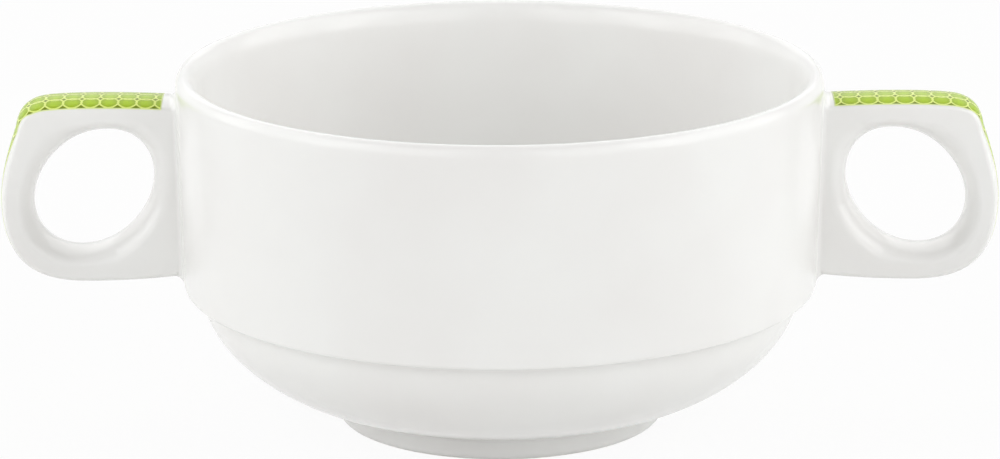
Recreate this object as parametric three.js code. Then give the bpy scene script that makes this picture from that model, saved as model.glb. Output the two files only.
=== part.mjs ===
// Stacking cream soup cup with two loop handles, in glazed white porcelain.
// Millimetres, +Z up. The origin is on the table under the middle of the foot ring,
// and the handles stand out along -X and +X.
import * as THREE from 'three';

// Driving dimensions of the cup
const RIM_DIAMETER = 106;
const CUP_HEIGHT = 58.7;
const LIP_THICKNESS = 3;
const WALL_THICKNESS = 4;
const WALL_TAPER = 0.85;
const STEP_HEIGHT = 22.8;
const STEP_DEPTH = 2.5;
const STEP_EDGE_RADIUS = 0.6;
const FLOOR_THICKNESS = 5;
const FOOT_DIAMETER = 54.4;
const FOOT_HEIGHT = 4.4;
const FOOT_RING_WIDTH = 4.6;
const FOOT_EDGE_RADIUS = 1.2;
const FOOT_RECESS = 2.6;
const FOOT_WAIST = 0.6;
const BOWL_START = 1.6;
const BOWL_START_RISE = 0.45;

// Driving dimensions of the handles
const HANDLE_REACH = 29.4;
const HANDLE_THICKNESS = 10.4;
const HANDLE_BELOW_RIM = 4.4;
const HANDLE_ABOVE_STEP = 0.8;
const HANDLE_STRAP = 5.3;
const HANDLE_WEB = 3.9;
const HANDLE_CROWN_RADIUS = 15;
const HANDLE_EDGE_RADIUS = 0.8;
const HOLE_ROUNDING = 3.6;
const HOLE_LEAN = -0.25;

// The joint of each handle and its printed band
const JOINT_CLEARANCE = 0.1;
const SLIP_THICKNESS = 0.5;
const SLIP_BEAD = 0.5;
const BAND_THICKNESS = 0.25;
const BAND_CLEARANCE = 0.1;
const BAND_FROM_WALL = 2.2;

// Shares that set how the curves bend
const BOWL_FLAT_SHARE = 0.44;
const BOWL_DISH_SHARE = 0.09;
const BOWL_DRAFT_SHARE = 0.04;
const BOWL_STEEP_SHARE = 0.52;
const INSIDE_DROP_SHARE = 0.55;
const INSIDE_TURN_SHARE = 0.8;
const INSIDE_FLAT_SHARE = 0.45;
const ROUNDING_SHARE = 0.9;

// Fineness of the facets
const CUP_SEGMENTS = 60;
const CURVE_STEPS = 8;
const ROOT_STEPS = 10;
const EDGE_STEPS = 2;
const CROWN_STEPS = 2;
const HOLE_STEPS = 3;
const SLIP_STEPS = 6;

// Places that follow from the driving dimensions
const rimRadius = RIM_DIAMETER / 2;
const lipRadius = LIP_THICKNESS / 2;
const wallTop = CUP_HEIGHT - lipRadius;
const wallFoot = STEP_HEIGHT + STEP_EDGE_RADIUS;
const wallFootRadius = rimRadius - WALL_TAPER;
const footRadius = FOOT_DIAMETER / 2;
const floorHeight = FOOT_RECESS + FLOOR_THICKNESS;

const porcelain = { color: 0xecebe7, roughness: 0.12, metalness: 0 };
const biscuitSlip = { color: 0xe9e8e3, roughness: 0.16, metalness: 0 };
const greenTransfer = { color: 0xa7cc3c, roughness: 0.2, metalness: 0 };

// Outer radius of the straight upper wall at height z
function wallRadius(z) {
  const share = (z - wallFoot) / (wallTop - wallFoot);
  return wallFootRadius + WALL_TAPER * share;
}

// Point beside the upper wall, a standoff clear of it, on the +X side
function besideWall(y, z, standoff) {
  const radius = wallRadius(z) + standoff;
  return new THREE.Vector3(Math.sqrt(radius * radius - y * y), y, z);
}

function quarterArc(x, y, radius, from, to) {
  return new THREE.EllipseCurve(x, y, radius, radius, from, to, to < from);
}

function line(x0, y0, x1, y1) {
  return new THREE.LineCurve(new THREE.Vector2(x0, y0), new THREE.Vector2(x1, y1));
}

function bezier(...coordinates) {
  const points = [];
  for (let i = 0; i < coordinates.length; i += 2) {
    points.push(new THREE.Vector2(coordinates[i], coordinates[i + 1]));
  }
  return new THREE.CubicBezierCurve(...points);
}

// Joins curves, each given with its number of steps, into one row of points,
// and leaves out the point where one curve takes over from the last
function trace(pieces) {
  const points = [];
  for (const [curve, steps] of pieces) {
    const row = curve.getPoints(steps);
    points.push(...(points.length ? row.slice(1) : row));
  }
  return points;
}

function meshOf(name, positions, triangles, look) {
  const geometry = new THREE.BufferGeometry();
  const flat = positions.flatMap((point) => [point.x, point.y, point.z]);
  geometry.setAttribute('position', new THREE.Float32BufferAttribute(flat, 3));
  geometry.setIndex(triangles);
  geometry.computeVertexNormals();
  const mesh = new THREE.Mesh(geometry, new THREE.MeshStandardMaterial(look));
  mesh.name = name;
  return mesh;
}

// Closed ring of closed sections, each section a list of as many points
function ringOfSections(name, sections, look) {
  const count = sections.length;
  const around = sections[0].length;
  const triangles = [];
  for (let i = 0; i < count; i += 1) {
    const next = (i + 1) % count;
    for (let k = 0; k < around; k += 1) {
      const up = (k + 1) % around;
      const a = i * around + k;
      const b = next * around + k;
      const c = next * around + up;
      const d = i * around + up;
      triangles.push(a, c, b, a, d, c);
    }
  }
  return meshOf(name, sections.flat(), triangles, look);
}

// Curved slab between an inner and an outer sheet, both grids of as many points
function slab(name, inner, outer, look) {
  const rows = inner.length;
  const columns = inner[0].length;
  const lift = rows * columns;
  const at = (row, column) => row * columns + column;
  const triangles = [];
  for (let i = 0; i + 1 < rows; i += 1) {
    for (let k = 0; k + 1 < columns; k += 1) {
      const a = at(i, k);
      const b = at(i + 1, k);
      const c = at(i + 1, k + 1);
      const d = at(i, k + 1);
      triangles.push(a, c, b, a, d, c);
      triangles.push(a + lift, b + lift, c + lift, a + lift, c + lift, d + lift);
    }
  }
  const border = [];
  for (let i = 0; i + 1 < rows; i += 1) border.push(at(i, 0));
  for (let k = 0; k + 1 < columns; k += 1) border.push(at(rows - 1, k));
  for (let i = rows - 1; i > 0; i -= 1) border.push(at(i, columns - 1));
  for (let k = columns - 1; k > 0; k -= 1) border.push(at(0, k));
  border.forEach((a, i) => {
    const b = border[(i + 1) % border.length];
    triangles.push(a, b, b + lift, a, b + lift, a + lift);
  });
  return meshOf(name, [...inner.flat(), ...outer.flat()], triangles, look);
}

// The cup: foot ring, round lower bowl, stacking step, straight wall and rolled lip,
// cast in one piece. The profile runs from under the floor round the lip to the floor.
function cupBody() {
  const bowlTop = wallFootRadius - STEP_DEPTH;
  const ringInner = footRadius - FOOT_RING_WIDTH;
  const waist = footRadius - FOOT_WAIST;
  const waistHeight = FOOT_HEIGHT - BOWL_START_RISE;
  const bowlFoot = footRadius + BOWL_START;
  const bowlRise = STEP_HEIGHT - FOOT_HEIGHT;
  const bowlReach = bowlTop - bowlFoot;
  const innerRim = rimRadius - LIP_THICKNESS;
  const innerFoot = wallFootRadius - WALL_THICKNESS;
  const innerBend = wallFoot + 2 * WALL_THICKNESS;
  const innerBowl = bowlTop - WALL_THICKNESS;
  const floorRise = innerBend - floorHeight;
  const edge = FOOT_EDGE_RADIUS;
  const step = STEP_EDGE_RADIUS;
  const half = Math.PI / 2;
  const profile = trace([
    [line(0, FOOT_RECESS, ringInner - edge, FOOT_RECESS), 1],
    [line(ringInner - edge, FOOT_RECESS, ringInner, FOOT_RECESS - edge), 1],
    [line(ringInner, FOOT_RECESS - edge, ringInner + edge, 0), 1],
    [line(ringInner + edge, 0, footRadius - edge, 0), 1],
    [quarterArc(footRadius - edge, edge, edge, -half, 0), 3],
    [line(footRadius, edge, waist, waistHeight), 1],
    [line(waist, waistHeight, bowlFoot, FOOT_HEIGHT), 1],
    [bezier(
      bowlFoot, FOOT_HEIGHT,
      bowlFoot + BOWL_FLAT_SHARE * bowlReach, FOOT_HEIGHT + BOWL_DISH_SHARE * bowlRise,
      bowlTop - BOWL_DRAFT_SHARE * bowlReach, STEP_HEIGHT - BOWL_STEEP_SHARE * bowlRise,
      bowlTop, STEP_HEIGHT,
    ), CURVE_STEPS],
    [line(bowlTop, STEP_HEIGHT, wallFootRadius - step, STEP_HEIGHT), 1],
    [quarterArc(wallFootRadius - step, wallFoot, step, -half, 0), 2],
    [line(wallFootRadius, wallFoot, rimRadius, wallTop), 1],
    [quarterArc(rimRadius - lipRadius, wallTop, lipRadius, 0, Math.PI), 6],
    [line(innerRim, wallTop, innerFoot, innerBend), 2],
    [bezier(
      innerFoot, innerBend,
      innerBowl, innerBend - INSIDE_DROP_SHARE * floorRise,
      INSIDE_TURN_SHARE * innerBowl, floorHeight,
      INSIDE_FLAT_SHARE * innerBowl, floorHeight,
    ), CURVE_STEPS],
    [line(INSIDE_FLAT_SHARE * innerBowl, floorHeight, 0, floorHeight), 1],
  ]);
  const geometry = new THREE.LatheGeometry(profile, CUP_SEGMENTS);
  geometry.rotateX(half);
  const mesh = new THREE.Mesh(geometry, new THREE.MeshStandardMaterial(porcelain));
  mesh.name = 'cup_body';
  return mesh;
}

// Box of the handle's outline in the XZ plane, under its printed band
const skin = BAND_THICKNESS + BAND_CLEARANCE;
const rootGap = 2 * JOINT_CLEARANCE + SLIP_THICKNESS;
const handleTop = CUP_HEIGHT - HANDLE_BELOW_RIM;
const handleBottom = STEP_HEIGHT + HANDLE_ABOVE_STEP;
const handleInner = rimRadius;
const handleOuter = rimRadius + HANDLE_REACH - skin;
const handleWidth = handleOuter - handleInner;
const handleHeight = handleTop - handleBottom;

// Outline of the handle from its top root to its bottom root, in shares of its box:
// a slightly humped top, a tight upper corner, a bowed outer side and a wide lower corner
const OUTLINE = [
  [[0, 0.99], [0.24, 1.0], [0.51, 1.005], [0.685, 0.992]],
  [[0.685, 0.992], [0.828, 0.984], [0.879, 0.923], [0.903, 0.832]],
  [[0.903, 0.832], [0.951, 0.705], [1, 0.572], [1, 0.436]],
  [[1, 0.436], [1, 0.16], [0.875, 0], [0.515, 0]],
  [[0.515, 0], [0.31, 0], [0.14, 0.005], [0, 0.015]],
];

// Outline curves in the plane, with each control point placed in the handle's box
const outlineCurves = OUTLINE.map((controls) => bezier(...controls.flatMap(([across, up]) => [
  handleInner + across * handleWidth,
  handleBottom + up * handleHeight,
])));

// Rows of points and outward normals along the outline, from the top root round to the bottom root
const outline = [];
outlineCurves.forEach((curve, index) => {
  for (let i = index === 0 ? 0 : 1; i <= CURVE_STEPS; i += 1) {
    const tangent = curve.getTangent(i / CURVE_STEPS);
    const normal = new THREE.Vector2(-tangent.y, tangent.x);
    outline.push({ point: curve.getPoint(i / CURVE_STEPS), normal });
  }
});
outline[0].normal.set(0, 1);
outline.at(-1).normal.set(0, -1);

// Drop of the crowned outer edge below the outline at a distance y from the middle plane
function crownDrop(y) {
  return HANDLE_CROWN_RADIUS - Math.sqrt(HANDLE_CROWN_RADIUS ** 2 - y * y);
}

const faceHalf = HANDLE_THICKNESS / 2;
const crownHalf = faceHalf - HANDLE_EDGE_RADIUS;

// Places across the front half of the outer edge, from the middle plane to the flat face
const edgePlaces = [];
for (let i = 0; i <= CROWN_STEPS; i += 1) {
  const y = crownHalf * i / CROWN_STEPS;
  edgePlaces.push({ y, drop: crownDrop(y) });
}
for (let i = 1; i <= EDGE_STEPS; i += 1) {
  const turn = Math.PI / 2 * i / EDGE_STEPS;
  edgePlaces.push({
    y: crownHalf + HANDLE_EDGE_RADIUS * Math.sin(turn),
    drop: crownDrop(crownHalf) + HANDLE_EDGE_RADIUS * (1 - Math.cos(turn)),
  });
}

// Finger hole: a leaning oval that leaves the strap all round and the web beside the wall
const holeInner = handleInner + HANDLE_WEB;
const holeOuter = handleOuter - HANDLE_STRAP;
const holeCentre = new THREE.Vector2(
  (holeInner + holeOuter) / 2,
  (handleTop + handleBottom) / 2,
);
const holeHalfWidth = (holeOuter - holeInner) / 2;
const holeHalfHeight = handleHeight / 2 - HANDLE_STRAP;

// Point of the oval in the direction of a point, seen from the middle of the hole
function holePoint(toward) {
  const ray = toward.clone().sub(holeCentre).normalize();
  const across = ray.x / holeHalfWidth;
  const up = ray.y / holeHalfHeight;
  const form = across * across - 2 * HOLE_LEAN * across * up + up * up;
  return ray.multiplyScalar(Math.sqrt((1 - HOLE_LEAN ** 2) / form)).add(holeCentre);
}

// One section of the handle: round the outer edge, over the face into the hole and back.
// edgeAt gives the outer edge's point at a place across it, with side -1 in front and 1 behind.
function handleSection(toward, edgeAt) {
  const hole = holePoint(toward);
  const half = (side) => {
    const points = edgePlaces.map((place) => edgeAt(place, side));
    const face = points.at(-1);
    const away = new THREE.Vector2(face.x, face.z).sub(hole);
    const rounding = Math.min(HOLE_ROUNDING, ROUNDING_SHARE * away.length());
    away.normalize();
    for (let i = 0; i <= HOLE_STEPS; i += 1) {
      const turn = Math.PI / 2 * i / HOLE_STEPS;
      const inset = rounding * (1 - Math.sin(turn));
      points.push(new THREE.Vector3(
        hole.x + away.x * inset,
        side * faceHalf * Math.cos(turn),
        hole.y + away.y * inset,
      ));
    }
    return points;
  };
  const front = half(-1);
  const back = half(1);
  return [...front, ...back.slice(1, -1).reverse()];
}

// A handle: a flat loop cast in its own mould, with a root that follows the wall
function handle(name) {
  const sections = outline.map(({ point, normal }, index) => {
    const atRoot = index === 0 || index === outline.length - 1;
    return handleSection(point, ({ y, drop }, side) => {
      const z = point.y - normal.y * drop;
      if (atRoot) {
        return besideWall(side * y, z, rootGap);
      }
      return new THREE.Vector3(point.x - normal.x * drop, side * y, z);
    });
  });
  const rootTop = outline[0].point.y;
  const rootBottom = outline.at(-1).point.y;
  for (let i = 1; i < ROOT_STEPS; i += 1) {
    const share = i / ROOT_STEPS;
    const height = THREE.MathUtils.lerp(rootBottom, rootTop, share);
    const middle = new THREE.Vector2(wallRadius(height) + rootGap, height);
    sections.push(handleSection(middle, ({ y, drop }, side) => {
      const z = THREE.MathUtils.lerp(rootBottom + drop, rootTop - drop, share);
      return besideWall(side * y, z, rootGap);
    }));
  }
  return ringOfSections(name, sections, porcelain);
}

// Slip seam: the thin bed of liquid clay that sticks the root to the wall,
// squeezed out into a small bead round the root
function slipSeam(name) {
  const rootTop = outline[0].point.y;
  const rootBottom = outline.at(-1).point.y;
  const sheet = (spread, standoff) => {
    const rows = [];
    for (let i = 0; i <= ROOT_STEPS; i += 1) {
      const row = [];
      for (let k = 0; k <= SLIP_STEPS; k += 1) {
        const across = 1 - 2 * k / SLIP_STEPS;
        const drop = crownDrop(across * crownHalf);
        const low = rootBottom + drop - spread;
        const high = rootTop - drop + spread;
        const z = THREE.MathUtils.lerp(low, high, i / ROOT_STEPS);
        row.push(besideWall(across * (faceHalf + spread), z, standoff));
      }
      rows.push(row);
    }
    return rows;
  };
  const wallSide = sheet(SLIP_BEAD, JOINT_CLEARANCE);
  const rootSide = sheet(0, JOINT_CLEARANCE + SLIP_THICKNESS);
  return slab(name, wallSide, rootSide, biscuitSlip);
}

// Printed band: the fired-on transfer that wraps the crowned outer edge of the handle
// and stops short of the wall at both ends
function printedBand(name) {
  const start = handleInner + BAND_FROM_WALL;
  const rows = outline.filter(({ point }) => point.x >= start);
  const trimEnd = (x, near) => ({
    point: new THREE.Vector2(x, near.point.y),
    normal: near.normal,
  });
  const strip = [trimEnd(start, rows[0]), ...rows.slice(1, -1), trimEnd(start, rows.at(-1))];
  const sheet = (lift) => strip.map(({ point, normal }) => {
    const row = [];
    for (let k = -CROWN_STEPS; k <= CROWN_STEPS; k += 1) {
      const y = crownHalf * k / CROWN_STEPS;
      const rise = lift - crownDrop(y);
      row.push(new THREE.Vector3(point.x + normal.x * rise, y, point.y + normal.y * rise));
    }
    return row;
  });
  return slab(name, sheet(BAND_CLEARANCE), sheet(skin), greenTransfer);
}

// One handle with its seam and band, standing out along +X
function handleGroup(side) {
  const group = new THREE.Group();
  group.add(slipSeam(`slip_seam_${side}`));
  group.add(handle(`handle_${side}`));
  group.add(printedBand(`printed_band_${side}`));
  return group;
}

const cup = new THREE.Group();
cup.add(cupBody());
cup.add(handleGroup('right'));
const leftHandle = handleGroup('left');
leftHandle.rotation.z = Math.PI;
cup.add(leftHandle);

export default cup;
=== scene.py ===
import math

import bpy
import numpy as np
from mathutils import Matrix, Vector


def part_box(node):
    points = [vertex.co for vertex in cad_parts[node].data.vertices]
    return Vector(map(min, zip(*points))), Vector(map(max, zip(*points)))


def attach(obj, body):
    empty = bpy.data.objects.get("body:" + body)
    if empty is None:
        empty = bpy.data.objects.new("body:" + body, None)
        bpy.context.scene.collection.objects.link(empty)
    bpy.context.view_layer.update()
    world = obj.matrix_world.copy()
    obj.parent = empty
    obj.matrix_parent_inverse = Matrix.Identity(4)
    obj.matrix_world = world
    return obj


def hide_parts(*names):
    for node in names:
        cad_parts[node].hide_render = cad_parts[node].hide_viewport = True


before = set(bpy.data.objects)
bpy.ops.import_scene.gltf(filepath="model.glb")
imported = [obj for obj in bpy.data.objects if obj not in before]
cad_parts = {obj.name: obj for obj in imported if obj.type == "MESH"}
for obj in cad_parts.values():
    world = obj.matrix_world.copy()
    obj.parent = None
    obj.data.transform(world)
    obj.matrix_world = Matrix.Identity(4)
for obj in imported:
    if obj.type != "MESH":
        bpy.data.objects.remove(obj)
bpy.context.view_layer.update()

# Cup body
# The foot ring, bowl, stacking step, wall and lip are one piece of hard porcelain, shaped in a
# plaster mould. It is glazed all over and fired standing on its foot, whose narrow land stays bare.
MM = 0.001  # sizes are in millimetres, apart from those of the lamps and the camera
CUP_TURNS = 240
ROUND_STEPS = 8
LIP_THICKNESS = 3.2
LIP_CREST = 1.3
LIP_OUTER_DROP = 2.2
LIP_INNER_DROP = 3.8
QUARTER = 0.552  # share of a radius at which a cubic curve's handle gives a quarter round
WALL_THICKNESS = 4.0
WALL_TAPER = 0.85
STEP_HEIGHT = 22.8
STEP_DEPTH = 2.5
STEP_EDGE = 0.8
STEP_HOLLOW = 0.9
FLOOR_THICKNESS = 5.0
FOOT_RADIUS = 27.0
FOOT_HEIGHT = 4.4
FOOT_WAIST = 0.6
BOWL_START = 1.9
BOWL_START_RISE = 0.45
FOOT_EDGE = 1.2
FOOT_HOLLOW = 1.1
FOOT_RING_WIDTH = 4.0
FOOT_RING_DRAFT = 0.6
FOOT_RING_EDGE = 0.7
RECESS = 2.6
RECESS_DOME = 0.5
RECESS_HOLLOW = 1.2
INNER_BEND_RISE = 8.6

# Shares that set how the curves bend
DOME_FLAT_SHARE = 0.4
DOME_EDGE_SHARE = 0.7
BOWL_FLAT_SHARE = 0.44
BOWL_DISH_SHARE = 0.09
BOWL_DRAFT_SHARE = 0.04
BOWL_STEEP_SHARE = 0.52
INSIDE_DROP_SHARE = 0.55
INSIDE_TURN_SHARE = 0.8
INSIDE_FLAT_SHARE = 0.45

cup_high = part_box("cup_body")[1]
rim_radius = cup_high.x / MM
cup_height = cup_high.z / MM
wall_top = cup_height - LIP_OUTER_DROP
wall_foot_radius = rim_radius - WALL_TAPER
bowl_top_radius = wall_foot_radius - STEP_DEPTH
floor_height = RECESS + FLOOR_THICKNESS


def straight(start, end, steps):
    """Points spread evenly along the line from start to end."""
    return np.linspace(start, end, steps + 1)


def bezier(controls, steps):
    """Cubic curve: four control points weighted by (1-t)^3, 3t(1-t)^2, 3t^2(1-t) and t^3."""
    t = np.linspace(0, 1, steps + 1)[:, None]
    a, b, c, d = np.asarray(controls, float)
    return (1 - t) ** 3 * a + 3 * t * (1 - t) ** 2 * b + 3 * t**2 * (1 - t) * c + t**3 * d


def arc(centre, radius, start, end, steps):
    """Part of a circle: the centre plus the radius times (cos, sin) of an angle in degrees."""
    angle = np.radians(np.linspace(start, end, steps + 1))[:, None]
    return np.asarray(centre) + radius * np.hstack([np.cos(angle), np.sin(angle)])


def distances(row):
    """Length along a row of points, from its first point to each one."""
    return np.concatenate([[0], np.cumsum(np.linalg.norm(np.diff(row, axis=0), axis=1))])


def places(row, lengths):
    """Points of the row at the given lengths along it."""
    along = distances(row)
    return np.stack([np.interp(lengths, along, axis) for axis in row.T], axis=-1)


def shortened(row, length):
    """The row without its last stretch of that length, ending on a new point there."""
    along = distances(row)
    stop = along[-1] - length
    return np.vstack([row[along < stop], places(row, [stop])])


def joined(runs, roundings=None):
    """One row of points through the runs. At a rounding both runs are shortened by that length and
    a parabola (1-t)^2 start + 2t(1-t) corner + t^2 end takes the corner's place. Runs without a
    rounding just meet."""
    row = runs[0]
    t = np.linspace(0, 1, ROUND_STEPS + 1)[1:-1, None]
    for run, rounding in zip(runs[1:], roundings or [0] * len(runs)):
        if rounding == 0:
            row = np.vstack([row, run[1:]])
            continue
        corner = run[0]
        row = shortened(row, rounding)
        run = shortened(run[::-1], rounding)[::-1]
        bend = (1 - t) ** 2 * row[-1] + 2 * t * (1 - t) * corner + t**2 * run[0]
        row = np.vstack([row, bend, run])
    return row


def grid_quads(rows, columns, close_rows=False, close_columns=False):
    """Corner numbers of the quads between neighbours on a grid of points, wrapped where closed."""
    row = np.arange(rows if close_rows else rows - 1)[:, None]
    column = np.arange(columns if close_columns else columns - 1)[None, :]
    next_row = (row + 1) % rows
    next_column = (column + 1) % columns
    corners = [
        row * columns + column,
        row * columns + next_column,
        next_row * columns + next_column,
        next_row * columns + column,
    ]
    return np.stack(corners, axis=-1).reshape(-1, 4)


def smooth_piece(name, points, *faces):
    """A smooth-shaded mesh object at the origin, from points in millimetres and arrays of faces."""
    mesh = bpy.data.meshes.new(name)
    corners = [face for part in faces for face in part.tolist()]
    mesh.from_pydata((points * MM).tolist(), [], corners)
    mesh.polygons.foreach_set("use_smooth", np.ones(len(mesh.polygons), bool))
    mesh.update()
    made = bpy.data.objects.new(name, mesh)
    bpy.context.scene.collection.objects.link(made)
    return made


def lathe(name, profile, turns):
    """Surface of revolution: each profile point (r, z) goes to (r cos a, r sin a, z) for every angle
    a round the axis. The first and last points lie on the axis and close it as single poles."""
    angle = np.arange(turns) * 2 * np.pi / turns
    ring = profile[1:-1]
    radius = ring[:, :1]
    height = np.broadcast_to(ring[:, 1:], (len(ring), turns))
    grid = np.stack([radius * np.cos(angle), radius * np.sin(angle), height], axis=-1).reshape(-1, 3)
    poles = np.array([[0, 0, profile[0, 1]], [0, 0, profile[-1, 1]]])
    here = np.arange(turns)
    beyond = (here + 1) % turns
    last = (len(ring) - 1) * turns
    low_fan = np.stack([np.full(turns, len(grid)), beyond, here], axis=-1)
    high_fan = np.stack([np.full(turns, len(grid) + 1), last + here, last + beyond], axis=-1)
    quads = grid_quads(len(ring), turns, close_columns=True)
    return smooth_piece(name, np.vstack([grid, poles]), quads, low_fan, high_fan)


waist_radius = FOOT_RADIUS - FOOT_WAIST
waist_height = FOOT_HEIGHT - BOWL_START_RISE
bowl_foot_radius = FOOT_RADIUS + BOWL_START
bowl_reach = bowl_top_radius - bowl_foot_radius
bowl_rise = STEP_HEIGHT - FOOT_HEIGHT
land_inner = FOOT_RADIUS - FOOT_RING_WIDTH + FOOT_RING_DRAFT
recess_radius = FOOT_RADIUS - FOOT_RING_WIDTH
inner_rim = rim_radius - LIP_THICKNESS
inner_foot = wall_foot_radius - WALL_THICKNESS
inner_bend = STEP_HEIGHT + INNER_BEND_RISE
inner_bowl = bowl_top_radius - WALL_THICKNESS
crest_radius = rim_radius - LIP_CREST
inner_top = cup_height - LIP_INNER_DROP
inner_lean = (inner_rim - inner_foot) / (inner_top - inner_bend)
floor_rise = inner_bend - floor_height
floor_flat = INSIDE_FLAT_SHARE * inner_bowl

underside = bezier(
    [
        (0, RECESS + RECESS_DOME),
        (DOME_FLAT_SHARE * recess_radius, RECESS + RECESS_DOME),
        (DOME_EDGE_SHARE * recess_radius, RECESS),
        (recess_radius, RECESS),
    ],
    steps=16,
)
ring_inside = straight((recess_radius, RECESS), (land_inner, 0), steps=4)
ring_land = straight((land_inner, 0), (FOOT_RADIUS, 0), steps=6)
ring_outside = straight((FOOT_RADIUS, 0), (waist_radius, waist_height), steps=10)
bowl_under = straight((waist_radius, waist_height), (bowl_foot_radius, FOOT_HEIGHT), steps=8)
bowl = bezier(
    [
        (bowl_foot_radius, FOOT_HEIGHT),
        (bowl_foot_radius + BOWL_FLAT_SHARE * bowl_reach, FOOT_HEIGHT + BOWL_DISH_SHARE * bowl_rise),
        (bowl_top_radius - BOWL_DRAFT_SHARE * bowl_reach, STEP_HEIGHT - BOWL_STEEP_SHARE * bowl_rise),
        (bowl_top_radius, STEP_HEIGHT),
    ],
    steps=48,
)
ledge = straight((bowl_top_radius, STEP_HEIGHT), (wall_foot_radius, STEP_HEIGHT), steps=6)
wall = straight((wall_foot_radius, STEP_HEIGHT), (rim_radius, wall_top), steps=24)
lip_outside = bezier(
    [
        (rim_radius, wall_top),
        (rim_radius, wall_top + QUARTER * LIP_OUTER_DROP),
        (crest_radius + QUARTER * LIP_CREST, cup_height),
        (crest_radius, cup_height),
    ],
    steps=14,
)
lip_inside = bezier(
    [
        (crest_radius, cup_height),
        (crest_radius - QUARTER * (crest_radius - inner_rim), cup_height),
        (inner_rim + QUARTER * LIP_INNER_DROP * inner_lean, inner_top + QUARTER * LIP_INNER_DROP),
        (inner_rim, inner_top),
    ],
    steps=16,
)
inner_wall = straight((inner_rim, inner_top), (inner_foot, inner_bend), steps=16)
inner_curve = bezier(
    [
        (inner_foot, inner_bend),
        (inner_bowl, inner_bend - INSIDE_DROP_SHARE * floor_rise),
        (INSIDE_TURN_SHARE * inner_bowl, floor_height),
        (floor_flat, floor_height),
    ],
    steps=40,
)
inner_floor = straight((floor_flat, floor_height), (0, floor_height), steps=10)

outside = [underside, ring_inside, ring_land, ring_outside, bowl_under, bowl, ledge, wall]
outside_roundings = [RECESS_HOLLOW, FOOT_RING_EDGE, FOOT_EDGE, FOOT_HOLLOW, 0, STEP_HOLLOW, STEP_EDGE]
inside = [lip_outside, lip_inside, inner_wall, inner_curve, inner_floor]
cup_profile = joined(outside + inside, outside_roundings + [0] * len(inside))
cup = lathe("glazed_cup", cup_profile, CUP_TURNS)


def linear(hex_colour):
    """sRGB hex colour to linear RGBA: each channel c becomes ((c + 0.055) / 1.055) ^ 2.4."""
    channels = np.array([int(hex_colour[i:i + 2], 16) for i in (1, 3, 5)]) / 255
    return (*((channels + 0.055) / 1.055) ** 2.4, 1.0)


def add(tree, kind, inputs=None, stops=None, **settings):
    """Adds a node with its settings and its colour ramp's stops, and fills each input that is
    named, or numbered where names repeat, with a value or a link."""
    made = tree.nodes.new("ShaderNode" + kind)
    for name, value in settings.items():
        setattr(made, name, value)
    for key, value in (inputs or {}).items():
        if isinstance(value, bpy.types.NodeSocket):
            tree.links.new(value, made.inputs[key])
        else:
            made.inputs[key].default_value = value
    for number, (place, colour) in enumerate(stops or []):
        ramp = made.color_ramp.elements
        stop = ramp[number] if number < 2 else ramp.new(place)
        stop.position = place
        stop.color = linear(colour)
    return made


def new_tree(name):
    """A material of that name with an empty node tree."""
    material = bpy.data.materials.new(name)
    material.use_nodes = True
    material.node_tree.nodes.clear()
    return material, material.node_tree


def glazed_porcelain(name, pale, deep):
    """Hard porcelain under a clear fired glaze: a white body with faint clouds of tint, a hard
    gloss a little duller in patches, and a slow waviness of the glaze that bends reflections.
    The land of the foot, wiped clean of glaze, is a warmer, matt and gritty biscuit white."""
    cloud_mm = 24
    wave_mm = 16
    wave_height_mm = 0.02
    grit_mm = 0.5
    grit_height_mm = 0.02
    glazed_above_mm = 0.3
    bare_below_mm = 0.1
    glaze_ior = 1.5
    clear_roughness = 0.16
    dull_roughness = 0.22
    biscuit_roughness = 0.75
    material, tree = new_tree(name)
    place = add(tree, "TexCoord").outputs["Object"]
    clouds = add(tree, "TexNoise", {"Vector": place, "Scale": 1 / (cloud_mm * MM), "Detail": 2.0})
    waves = add(tree, "TexNoise", {"Vector": place, "Scale": 1 / (wave_mm * MM), "Detail": 0.0})
    grit = add(tree, "TexNoise", {"Vector": place, "Scale": 1 / (grit_mm * MM), "Detail": 1.0})
    height = add(tree, "SeparateXYZ", {"Vector": place}).outputs["Z"]
    bare = add(
        tree,
        "MapRange",
        {"Value": height, "From Min": glazed_above_mm * MM, "From Max": bare_below_mm * MM},
        interpolation_type="SMOOTHSTEP",
    ).outputs["Result"]
    tint = add(tree, "ValToRGB", {"Fac": clouds.outputs["Fac"]}, [(0.35, deep), (0.65, pale)])
    biscuit = add(tree, "ValToRGB", {"Fac": grit.outputs["Fac"]}, [(0.4, "#d9d1c2"), (0.6, "#e6dfd1")])
    colour = add(
        tree,
        "Mix",
        {0: bare, 6: tint.outputs["Color"], 7: biscuit.outputs["Color"]},
        data_type="RGBA",
    )
    gloss = add(
        tree,
        "MapRange",
        {
            "Value": clouds.outputs["Fac"],
            "From Min": 0.3,
            "From Max": 0.7,
            "To Min": clear_roughness,
            "To Max": dull_roughness,
        },
    )
    roughness = add(
        tree,
        "Mix",
        {0: bare, 2: gloss.outputs["Result"], 3: biscuit_roughness},
        data_type="FLOAT",
    )
    glaze_bump = add(
        tree,
        "Bump",
        {"Height": waves.outputs["Fac"], "Strength": 1.0, "Distance": wave_height_mm * MM},
    )
    grit_bump = add(
        tree,
        "Bump",
        {
            "Height": grit.outputs["Fac"],
            "Strength": bare,
            "Distance": grit_height_mm * MM,
            "Normal": glaze_bump.outputs["Normal"],
        },
    )
    shader = add(
        tree,
        "BsdfPrincipled",
        {
            "Base Color": colour.outputs[2],
            "Roughness": roughness.outputs[0],
            "IOR": glaze_ior,
            "Normal": grit_bump.outputs["Normal"],
        },
    )
    add(tree, "OutputMaterial", {"Surface": shader.outputs["BSDF"]})
    return material


porcelain = glazed_porcelain("glazed_hard_porcelain", "#f2f2f0", "#efeeec")
cup.data.materials.append(porcelain)
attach(cup, "root")
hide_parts("cup_body")

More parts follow.
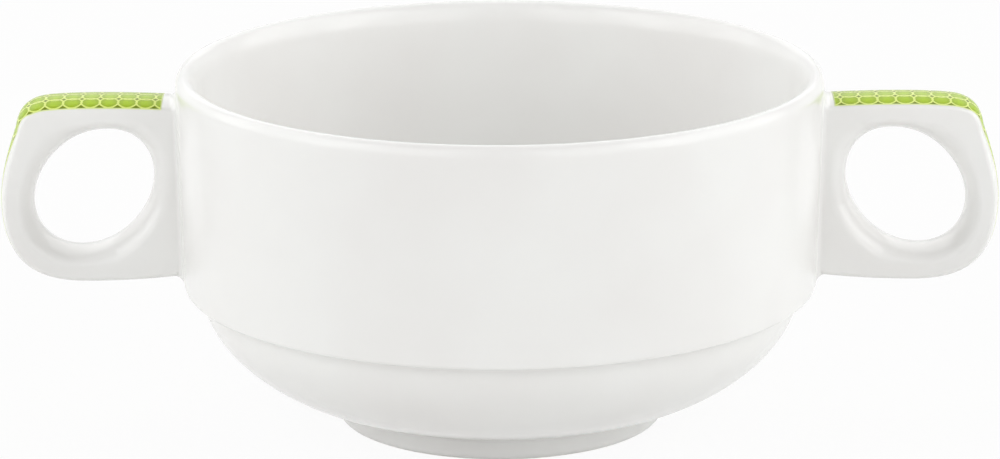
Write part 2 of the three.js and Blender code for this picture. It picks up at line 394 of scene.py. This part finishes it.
# Loop handles
# Each handle is a flat loop of the same porcelain, cast in its own mould with a crowned outer edge
# and a rounded finger hole, trimmed at the root to the curve of the wall and stuck on before firing.
HANDLE_THICKNESS = 10.4
HANDLE_CROWN_RADIUS = 15.0
HANDLE_EDGE_RADIUS = 0.8
HANDLE_STRAP = 5.6
HANDLE_WEB = 3.9
HANDLE_ROWS = 260
ROOT_ROWS = 72
ROOT_SINK = 0.25
HOLE_ROUNDING = 3.6
HOLE_LEAN = -0.25
HOLE_ROUNDING_SHARE = 0.6
HOLE_STEPS = 18
FACE_SHARES = (0.04, 0.2, 0.5, 0.8, 0.96)
OUTLINE_STEPS = 60
CROWN_STEPS = 12
EDGE_STEPS = 8
PRINT_FILM = 0.05
SIDES = {"right": 1, "left": -1}

# Outline from the top root to the bottom root, in shares of the handle's box: a slightly humped top,
# a tight upper corner, a bowed outer side, a wide lower corner and a bottom that rises to the wall.
HANDLE_OUTLINE = [
    [(0, 0.984), (0.24, 0.994), (0.51, 0.999), (0.685, 0.986)],
    [(0.685, 0.986), (0.835, 0.979), (0.881, 0.923), (0.897, 0.832)],
    [(0.897, 0.832), (0.944, 0.705), (0.99, 0.572), (0.99, 0.436)],
    [(0.99, 0.436), (0.99, 0.16), (0.868, 0), (0.515, 0)],
    [(0.515, 0), (0.31, 0), (0.16, 0.01), (0, 0.026)],
]

band_low, band_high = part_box("printed_band_right")
handle_inner = rim_radius
handle_outer = band_high.x / MM - PRINT_FILM
handle_top = band_high.z / MM - PRINT_FILM
handle_bottom = band_low.z / MM + PRINT_FILM
handle_size = np.array([handle_outer - handle_inner, handle_top - handle_bottom])
handle_corner = np.array([handle_inner, handle_bottom])
face_half = HANDLE_THICKNESS / 2

outline_curves = [bezier(controls, OUTLINE_STEPS) for controls in HANDLE_OUTLINE]
outline_row = joined(outline_curves) * handle_size + handle_corner
outline_length = distances(outline_row)[-1]
root_top = outline_row[0, 1]
root_bottom = outline_row[-1, 1]


def outline_at(lengths):
    """Points of the handle's outline at lengths along it, and the unit normals that point out of
    the handle there: the direction of travel, turned a quarter to the left."""
    reach = 0.2
    points = places(outline_row, lengths)
    travel = places(outline_row, lengths + reach) - places(outline_row, lengths - reach)
    travel /= np.linalg.norm(travel, axis=1, keepdims=True)
    return points, np.stack([-travel[:, 1], travel[:, 0]], axis=-1)


def wall_radius(z):
    """Outer radius of the upper wall: it grows evenly by the taper from the step to the lip."""
    return wall_foot_radius + WALL_TAPER * (z - STEP_HEIGHT) / (wall_top - STEP_HEIGHT)


def beside_wall(y, z, standoff):
    """X of a point beside the wall on the +X side: x squared plus y squared is the square of the
    wall's radius plus the standoff."""
    return np.sqrt((wall_radius(z) + standoff) ** 2 - y**2)


# Half of the outer edge's section, as places off the middle plane and rises over the outline:
# a flat crown arc that runs on, with the same tangent, into the small arc of the edge.
edge_middle = HANDLE_CROWN_RADIUS - HANDLE_EDGE_RADIUS
crown_turn = math.asin((face_half - HANDLE_EDGE_RADIUS) / edge_middle)
edge_centre = (
    edge_middle * math.sin(crown_turn),
    edge_middle * math.cos(crown_turn) - HANDLE_CROWN_RADIUS,
)
crown_end = 90 - math.degrees(crown_turn)
crown = arc((0, -HANDLE_CROWN_RADIUS), HANDLE_CROWN_RADIUS, 90, crown_end, CROWN_STEPS)
edge = arc(edge_centre, HANDLE_EDGE_RADIUS, crown_end, 0, EDGE_STEPS)
edge_section = joined([crown, edge])
edge_off, edge_rise = edge_section.T

hole_inner = handle_inner + HANDLE_WEB
hole_outer = handle_outer - HANDLE_STRAP
hole_centre = np.array([(hole_inner + hole_outer) / 2, (handle_top + handle_bottom) / 2])
hole_half = np.array([(hole_outer - hole_inner) / 2, (handle_top - handle_bottom) / 2 - HANDLE_STRAP])


def hole_toward(points):
    """Points of the finger hole's edge, a leaning oval, on the rays from its middle to the given
    points: with a and b the ray's shares of the half sizes, the distance out is the square root of
    (1 - lean^2) / (a^2 - 2 lean a b + b^2)."""
    ray = points - hole_centre
    ray /= np.linalg.norm(ray, axis=1, keepdims=True)
    a, b = (ray / hole_half).T
    out = np.sqrt((1 - HOLE_LEAN**2) / (a**2 - 2 * HOLE_LEAN * a * b + b**2))
    return hole_centre + ray * out[:, None]


def loop_handle():
    """Points and quads of the right handle: a closed ring of closed sections. Each section goes
    round the crowned edge, along the flat face, through the hole by a quarter ellipse to the middle
    plane, and back on the other side. The ring's last rows lie on the wall and close the root."""
    lengths = np.linspace(0, outline_length, HANDLE_ROWS)[1:-1]
    points, normals = outline_at(lengths)
    free = points[:, None] + normals[:, None] * edge_rise[:, None]
    share = np.linspace(0, 1, ROOT_ROWS)[:, None]
    root_z = (root_bottom - edge_rise) * (1 - share) + (root_top + edge_rise) * share
    root = np.stack([beside_wall(edge_off, root_z, -ROOT_SINK), root_z], axis=-1)
    edges = np.vstack([free, root])
    face = edges[:, -1]
    hole = hole_toward(np.vstack([points, root[:, 0]]))
    away = face - hole
    width = np.linalg.norm(away, axis=1, keepdims=True)
    away /= width
    rounding = np.minimum(HOLE_ROUNDING, HOLE_ROUNDING_SHARE * width)
    across = np.array(FACE_SHARES)[:, None]
    flat = face[:, None] * (1 - across) + (hole + away * rounding)[:, None] * across
    turn = np.radians(np.linspace(0, 90, HOLE_STEPS + 1))
    inset = rounding[:, None] * (1 - np.sin(turn))[:, None]
    rounded = hole[:, None] + away[:, None] * inset
    half = np.concatenate([edges, flat, rounded], axis=1)
    off = np.concatenate([edge_off, np.full(len(across), face_half), face_half * np.cos(turn)])
    plane = np.concatenate([half, half[:, -2:0:-1]], axis=1)
    depth = np.broadcast_to(np.concatenate([-off, off[-2:0:-1]]), plane.shape[:2])
    ring = np.stack([plane[..., 0], depth, plane[..., 1]], axis=-1)
    quads = grid_quads(ring.shape[0], ring.shape[1], close_rows=True, close_columns=True)
    return ring.reshape(-1, 3), quads


handle_points, handle_quads = loop_handle()
for side, sign in SIDES.items():
    handle = smooth_piece(f"loop_handle_{side}", handle_points * (sign, sign, 1), handle_quads)
    handle.data.materials.append(porcelain)
    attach(handle, "root")
    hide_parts(f"handle_{side}")

# Slip seams
# Each root is stuck to the wall with liquid clay of the same porcelain. What squeezes out is wiped
# with a wet brush to a small hollow fillet all round the root, and the glaze flows over it.
SEAM_TOP = 1.4
SEAM_FOOT = 1.7
SEAM_FACE = 0.9
SEAM_SKIRT = 0.4
SEAM_TUCK = 0.04
SEAM_SINK = 0.4
SEAM_ROWS = 60
SEAM_STEPS = 10


def slip_seam():
    """Points and quads of the right seam: a hollow quarter round carried along the root's outline.
    At turn t it stands r(1 - sin t) out from the root and r(1 - cos t) off the wall, and the radius r
    is larger over and under the root than beside it. It runs on a little under the skin of the wall
    and of the handle, so that it leaves them without a crease, and a row sunk in the porcelain closes
    it."""
    mirror = (-1, 1)
    top = np.stack([edge_off, root_top + edge_rise], axis=-1)
    foot = np.stack([edge_off, root_bottom - edge_rise], axis=-1)
    front = straight(top[-1] * mirror, foot[-1] * mirror, SEAM_ROWS)
    back = straight(foot[-1], top[-1], SEAM_ROWS)
    loop = joined([top * mirror, front, foot[::-1] * mirror, foot, back, top[::-1]])[:-1]
    travel = np.roll(loop, -1, axis=0) - np.roll(loop, 1, axis=0)
    travel /= np.linalg.norm(travel, axis=1, keepdims=True)
    outward = np.stack([travel[:, 1], -travel[:, 0]], axis=-1)
    upward = outward[:, 1:]
    radius = SEAM_FACE + (np.where(upward > 0, SEAM_TOP, SEAM_FOOT) - SEAM_FACE) * upward**2
    turn = np.radians(np.linspace(0, 90, SEAM_STEPS + 1))
    tuck = np.full_like(radius, -SEAM_TUCK)
    sink = np.full_like(radius, -SEAM_SINK)
    out = np.hstack([radius + SEAM_SKIRT, radius * (1 - np.sin(turn)), tuck, sink])
    off = np.hstack([tuck, radius * (1 - np.cos(turn)), radius + SEAM_SKIRT, sink])
    y = loop[:, :1] + outward[:, :1] * out
    z = loop[:, 1:] + outward[:, 1:] * out
    ring = np.stack([beside_wall(y, z, off), y, z], axis=-1)[:, ::-1]
    quads = grid_quads(ring.shape[0], ring.shape[1], close_rows=True, close_columns=True)
    return ring.reshape(-1, 3), quads


slip = glazed_porcelain("glazed_porcelain_slip", "#f1f1ef", "#eeedeb")
seam_points, seam_quads = slip_seam()
for side, sign in SIDES.items():
    seam = smooth_piece(f"slip_fillet_{side}", seam_points * (sign, sign, 1), seam_quads)
    seam.data.materials.append(slip)
    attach(seam, "root")
    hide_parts(f"slip_seam_{side}")

# Printed bands
# A ceramic transfer, printed in two greens under pale yellow lines as overlapping circles in straight
# rows, is laid by hand round the crowned edge of each handle and fired into the glaze as a thin film.
CIRCLE_PITCH = 3.0
CIRCLE_RADIUS = 1.55
CIRCLE_ROWS = 3
ROW_PITCH = 2.65
LINE_WIDTH = 0.32
BAND_MARGIN = 0.25
BAND_FROM_WALL = {"right": 1.5, "left": 2.05}
BAND_FIRST_CROSSING = 1.15
BORDER_SOLID = 0.12
BORDER_FADED = 0.24
BAND_ROOT = 0.1
BAND_ROW_STEP = 0.25
BAND_COLUMNS = 41
BAND_TURN = (22.0, 36.0)
BAND_ASKEW = {"right": (-0.6, 2.3), "left": (-1.0, 2.3)}
BAND_WRAP = 1.0
WRAP_STEPS = 4

outer_row = (CIRCLE_ROWS - 1) / 2
band_half = outer_row * ROW_PITCH + CIRCLE_PITCH / 2 + BAND_MARGIN
wrap = straight(edge_section[-1], edge_section[-1] - (0, BAND_WRAP), WRAP_STEPS)
wrap_section = joined([edge_section, wrap])


def printed_band(from_wall, askew):
    """Points, quads and print coordinates of the right band: the outline carried across the crown.
    A point lies at a length along the outline and at a length round the section from its middle,
    lifted off the porcelain by the film, over a second sheet sunk below it that closes the film.
    The transfer was laid askew: it is off the middle by one length on the top and by another past
    the corner, where its back border runs on over the edge to the face."""
    reach = 0.05
    start_x = handle_inner + from_wall
    along = distances(outline_row)
    half_way = len(outline_row) // 2
    start = np.interp(start_x, outline_row[:half_way, 0], along[:half_way])
    end = np.interp(-start_x, -outline_row[half_way:, 0], along[half_way:])
    lengths = np.linspace(start, end, int((end - start) / BAND_ROW_STEP))
    points, normals = outline_at(lengths)
    across = np.linspace(-band_half, band_half, BAND_COLUMNS)
    slid = np.interp(lengths - start, BAND_TURN, askew)
    round_by = across + slid[:, None]
    off_middle = np.abs(round_by)
    section = places(wrap_section, off_middle)
    travel = places(wrap_section, off_middle + reach) - places(wrap_section, off_middle - reach)
    travel /= np.linalg.norm(travel, axis=-1, keepdims=True)
    hand = np.where(round_by < 0, -1, 1)
    sheets = []
    for lift in (PRINT_FILM, -BAND_ROOT):
        depth = hand * (section[..., 0] - travel[..., 1] * lift)
        rise = section[..., 1] + travel[..., 0] * lift
        plane = points[:, None] + normals[:, None] * rise[..., None]
        sheets.append(np.stack([plane[..., 0], depth, plane[..., 1]], axis=-1))
    loop = np.concatenate([sheets[0][:, ::-1], sheets[1]], axis=1)
    rows, columns = loop.shape[:2]
    quads = grid_quads(rows, columns, close_columns=True)
    here = np.arange(BAND_COLUMNS - 1)
    cap = np.stack([here, here + 1, columns - 2 - here, columns - 1 - here], axis=-1)
    caps = np.vstack([cap[:, ::-1], cap + (rows - 1) * columns])
    print_across = np.concatenate([across[::-1], across])
    grid = np.broadcast_arrays((lengths - start)[:, None], print_across[None, :])
    return loop.reshape(-1, 3), quads, caps, np.stack(grid, axis=-1).reshape(-1, 2)


def fired_print(name, length):
    """Vitreous enamel transfer fired into the glaze: bright green discs, a little deeper at their
    edges, under pale yellow circles that cross, with olive between them and a pale rim round the
    whole band. It is a little glossy, and the lines stand a few hundredths of a millimetre proud."""
    mottle_mm = 0.35
    line_height_mm = 0.03
    enamel_ior = 1.52
    enamel_specular = 0.1
    shiny_roughness = 0.12
    dusty_roughness = 0.22
    edge_share = CIRCLE_RADIUS / CIRCLE_PITCH
    deep_share = edge_share - 0.06
    material, tree = new_tree(name)
    print_mm = add(tree, "UVMap", uv_map="print_mm").outputs["UV"]
    place = add(tree, "SeparateXYZ", {"Vector": print_mm})
    first_centre = BAND_FIRST_CROSSING + CIRCLE_PITCH / 2
    past = add(tree, "Math", {0: place.outputs["X"], 1: first_centre}, operation="SUBTRACT")
    along = add(
        tree,
        "Math",
        {0: past.outputs[0], 1: CIRCLE_PITCH / 2, 2: -CIRCLE_PITCH / 2},
        operation="WRAP",
    )
    rows = add(tree, "Math", {0: place.outputs["Y"], 1: ROW_PITCH}, operation="DIVIDE")
    nearest = add(tree, "Math", {0: rows.outputs[0]}, operation="ROUND")
    row = add(tree, "Clamp", {"Value": nearest.outputs[0], "Min": -outer_row, "Max": outer_row})
    across = add(
        tree,
        "Math",
        {0: row.outputs[0], 1: -ROW_PITCH, 2: place.outputs["Y"]},
        operation="MULTIPLY_ADD",
    )
    from_centre = add(tree, "CombineXYZ", {"X": along.outputs[0], "Y": across.outputs[0]})
    folded = add(tree, "VectorMath", {0: from_centre.outputs[0]}, operation="ABSOLUTE").outputs[0]
    crossings = []
    for centre in ((0, 0, 0), (CIRCLE_PITCH, 0, 0), (0, ROW_PITCH, 0)):
        reach = add(tree, "VectorMath", {0: folded, 1: centre}, operation="DISTANCE").outputs["Value"]
        on_line = {0: reach, 1: CIRCLE_RADIUS, 2: LINE_WIDTH / 2}
        crossings.append(add(tree, "Math", on_line, operation="COMPARE").outputs[0])
    off_middle = add(tree, "Math", {0: place.outputs["Y"]}, operation="ABSOLUTE")
    inner = add(
        tree,
        "Math",
        {0: off_middle.outputs[0], 1: outer_row * ROW_PITCH},
        operation="LESS_THAN",
    )
    next_row = add(tree, "Math", {0: crossings[2], 1: inner.outputs[0]}, operation="MULTIPLY")
    in_row = add(tree, "Math", {0: crossings[0], 1: crossings[1]}, operation="MAXIMUM")
    lines = add(tree, "Math", {0: in_row.outputs[0], 1: next_row.outputs[0]}, operation="MAXIMUM")
    own_reach = add(tree, "VectorMath", {0: folded}, operation="LENGTH")
    radius = add(tree, "Math", {0: own_reach.outputs["Value"], 1: CIRCLE_PITCH}, operation="DIVIDE")
    inks = add(
        tree,
        "ValToRGB",
        {"Fac": radius.outputs[0]},
        [
            (0.0, "#b4d70a"),
            (0.25, "#aecd0e"),
            (deep_share, "#9cba12"),
            (edge_share, "#7b8f16"),
        ],
    )
    lined = add(
        tree,
        "Mix",
        {0: lines.outputs[0], 6: inks.outputs["Color"], 7: linear("#eafa86")},
        data_type="RGBA",
    )
    side_left = add(tree, "Math", {0: band_half, 1: off_middle.outputs[0]}, operation="SUBTRACT")
    far_left = add(tree, "Math", {0: length, 1: place.outputs["X"]}, operation="SUBTRACT")
    end_left = add(tree, "Math", {0: far_left.outputs[0], 1: place.outputs["X"]}, operation="MINIMUM")
    rim_left = add(tree, "Math", {0: side_left.outputs[0], 1: end_left.outputs[0]}, operation="MINIMUM")
    inside_rim = add(
        tree,
        "MapRange",
        {"Value": rim_left.outputs[0], "From Min": BORDER_SOLID, "From Max": BORDER_FADED},
    )
    mottle = add(tree, "TexNoise", {"Vector": print_mm, "Scale": 1 / mottle_mm, "Detail": 2.0})
    dusty = add(tree, "ValToRGB", {"Fac": mottle.outputs["Fac"]}, [(0.3, "#ececec"), (0.7, "#ffffff")])
    inked = add(
        tree,
        "Mix",
        {0: 1.0, 6: lined.outputs[2], 7: dusty.outputs["Color"]},
        data_type="RGBA",
        blend_type="MULTIPLY",
    )
    colour = add(
        tree,
        "Mix",
        {0: inside_rim.outputs["Result"], 6: linear("#e9f4b4"), 7: inked.outputs[2]},
        data_type="RGBA",
    )
    roughness = add(
        tree,
        "MapRange",
        {
            "Value": mottle.outputs["Fac"],
            "From Min": 0.3,
            "From Max": 0.7,
            "To Min": shiny_roughness,
            "To Max": dusty_roughness,
        },
    )
    bump = add(
        tree,
        "Bump",
        {"Height": lines.outputs[0], "Strength": 0.6, "Distance": line_height_mm * MM},
    )
    shader = add(
        tree,
        "BsdfPrincipled",
        {
            "Base Color": colour.outputs[2],
            "Roughness": roughness.outputs["Result"],
            "IOR": enamel_ior,
            "Specular IOR Level": enamel_specular,
            "Normal": bump.outputs["Normal"],
        },
    )
    add(tree, "OutputMaterial", {"Surface": shader.outputs["BSDF"]})
    return material


for side, sign in SIDES.items():
    askew = np.multiply(BAND_ASKEW[side], sign)
    band_points, band_quads, band_caps, band_print = printed_band(BAND_FROM_WALL[side], askew)
    band = smooth_piece(f"green_band_{side}", band_points * (sign, sign, 1), band_quads, band_caps)
    loop_points = np.zeros(len(band.data.loops), np.int32)
    band.data.loops.foreach_get("vertex_index", loop_points)
    band_uv = band.data.uv_layers.new(name="print_mm")
    band_uv.data.foreach_set("uv", band_print[loop_points].astype(np.float32).ravel())
    band_length = float(band_print[:, 0].max())
    band.data.materials.append(fired_print(f"fired_green_transfer_{side}", band_length))
    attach(band, "root")
    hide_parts(f"printed_band_{side}")

# Studio floor and surround
# A wide sheet of matt white paper lies under the cup and white screens stand far round it. To the
# camera and to reflections both read as white, while the paper keeps the cup's soft shadow.
FLOOR_HALF = 3000.0
FLOOR_LEVEL = -0.03
FLOOR_GLOW = 0.93
SURROUND_LEVEL = 0.1

floor_corners = np.array([(-1, -1, 0), (1, -1, 0), (1, 1, 0), (-1, 1, 0)]) * FLOOR_HALF
floor = smooth_piece("paper_floor", floor_corners + (0, 0, FLOOR_LEVEL), np.array([[0, 1, 2, 3]]))


def seen_directly(tree):
    """1 for rays from the camera, from a gloss or through glass, and 0 for diffuse light."""
    path = add(tree, "LightPath")
    shiny = add(
        tree,
        "Math",
        {0: path.outputs["Is Glossy Ray"], 1: path.outputs["Is Transmission Ray"]},
        operation="MAXIMUM",
    )
    return add(
        tree,
        "Math",
        {0: path.outputs["Is Camera Ray"], 1: shiny.outputs[0]},
        operation="MAXIMUM",
    ).outputs[0]


paper, paper_tree = new_tree("matt_white_paper")
paper_seen = add(paper_tree, "Math", {0: seen_directly(paper_tree), 1: FLOOR_GLOW}, operation="MULTIPLY")
paper_body = add(paper_tree, "BsdfDiffuse", {"Color": linear("#eeeeed")})
paper_glow = add(paper_tree, "Emission", {"Color": linear("#ffffff"), "Strength": 1.0})
paper_mix = add(
    paper_tree,
    "MixShader",
    {0: paper_seen.outputs[0], 1: paper_body.outputs[0], 2: paper_glow.outputs[0]},
)
add(paper_tree, "OutputMaterial", {"Surface": paper_mix.outputs[0]})
floor.data.materials.append(paper)

surround = bpy.data.worlds.new("white_surround")
surround.use_nodes = True
surround_tree = surround.node_tree
surround_tree.nodes.clear()
screen_light = add(surround_tree, "Background", {"Color": linear("#ffffff"), "Strength": SURROUND_LEVEL})
screen_white = add(surround_tree, "Background", {"Color": linear("#ffffff"), "Strength": 1.0})
surround_mix = add(
    surround_tree,
    "MixShader",
    {0: seen_directly(surround_tree), 1: screen_light.outputs[0], 2: screen_white.outputs[0]},
)
add(surround_tree, "OutputWorld", {"Surface": surround_mix.outputs[0]})
bpy.context.scene.world = surround

# Softboxes
# Large dim screens stand in a ring: one over the camera and one on either side of it, one beside and
# one behind each handle, and a wide one high behind the cup. Each is given by azimuth and elevation in
# degrees, then distance, width and height in metres, then watts.
SOFTBOXES = {
    "front": (0, 27, 1.6, 2.4, 1.6, 2.7),
    "front_left": (-42, 22, 1.4, 1.4, 1.0, 5.0),
    "front_right": (42, 22, 1.4, 1.4, 1.0, 5.0),
    "left": (-85, 27, 1.3, 1.6, 1.2, 7.7),
    "right": (85, 27, 1.3, 1.6, 1.2, 9.3),
    "left_back": (-120, 27, 1.3, 1.6, 1.2, 2.3),
    "right_back": (120, 27, 1.3, 1.6, 1.2, 1.0),
    "back": (180, 50, 2.2, 3.0, 3.0, 26.5),
}

aim = Vector((0, 0, cup_height * MM / 2))
for name, (azimuth, elevation, distance, width, height, power) in SOFTBOXES.items():
    lamp = bpy.data.lights.new(f"softbox_{name}", "AREA")
    lamp.shape = "RECTANGLE"
    lamp.size = width
    lamp.size_y = height
    lamp.energy = power
    softbox = bpy.data.objects.new(f"softbox_{name}", lamp)
    bpy.context.scene.collection.objects.link(softbox)
    turn = math.radians(azimuth)
    lift = math.radians(elevation)
    toward = Vector((math.sin(turn) * math.cos(lift), -math.cos(turn) * math.cos(lift), math.sin(lift)))
    softbox.location = aim + toward * distance
    softbox.rotation_euler = toward.to_track_quat("Z", "Y").to_euler()
    softbox.visible_camera = False

# Camera
# It stands straight in front of the cup and a little above it, about 0.7 m away, with a long lens.
# Its place, tilt and roll, in metres and radians, and its lens were fitted to the cup's outline.
IMAGE_WIDTH_PX = 1000
FOCAL_LENGTH_PX = 4427.4
SENSOR_WIDTH_MM = 36.0
CAMERA_DISTANCE = 0.73143
CAMERA_ELEVATION = 0.2663
CAMERA_ROLL = 0.0027
AIM_HEIGHT = 0.03131

lens = bpy.data.cameras.new("camera")
lens.sensor_fit = "HORIZONTAL"
lens.sensor_width = SENSOR_WIDTH_MM
lens.lens = FOCAL_LENGTH_PX * SENSOR_WIDTH_MM / IMAGE_WIDTH_PX
lens.clip_start = 0.01
camera = bpy.data.objects.new("camera", lens)
bpy.context.scene.collection.objects.link(camera)
backward = Vector((0, -math.cos(CAMERA_ELEVATION), math.sin(CAMERA_ELEVATION)))
upright = backward.to_track_quat("Z", "Y").to_matrix()
camera.matrix_world = (
    Matrix.Translation(Vector((0, 0, AIM_HEIGHT)) + backward * CAMERA_DISTANCE)
    @ upright.to_4x4()
    @ Matrix.Rotation(-CAMERA_ROLL, 4, "Z")
)
bpy.context.scene.camera = camera
bpy.context.scene.view_settings.view_transform = "Standard"
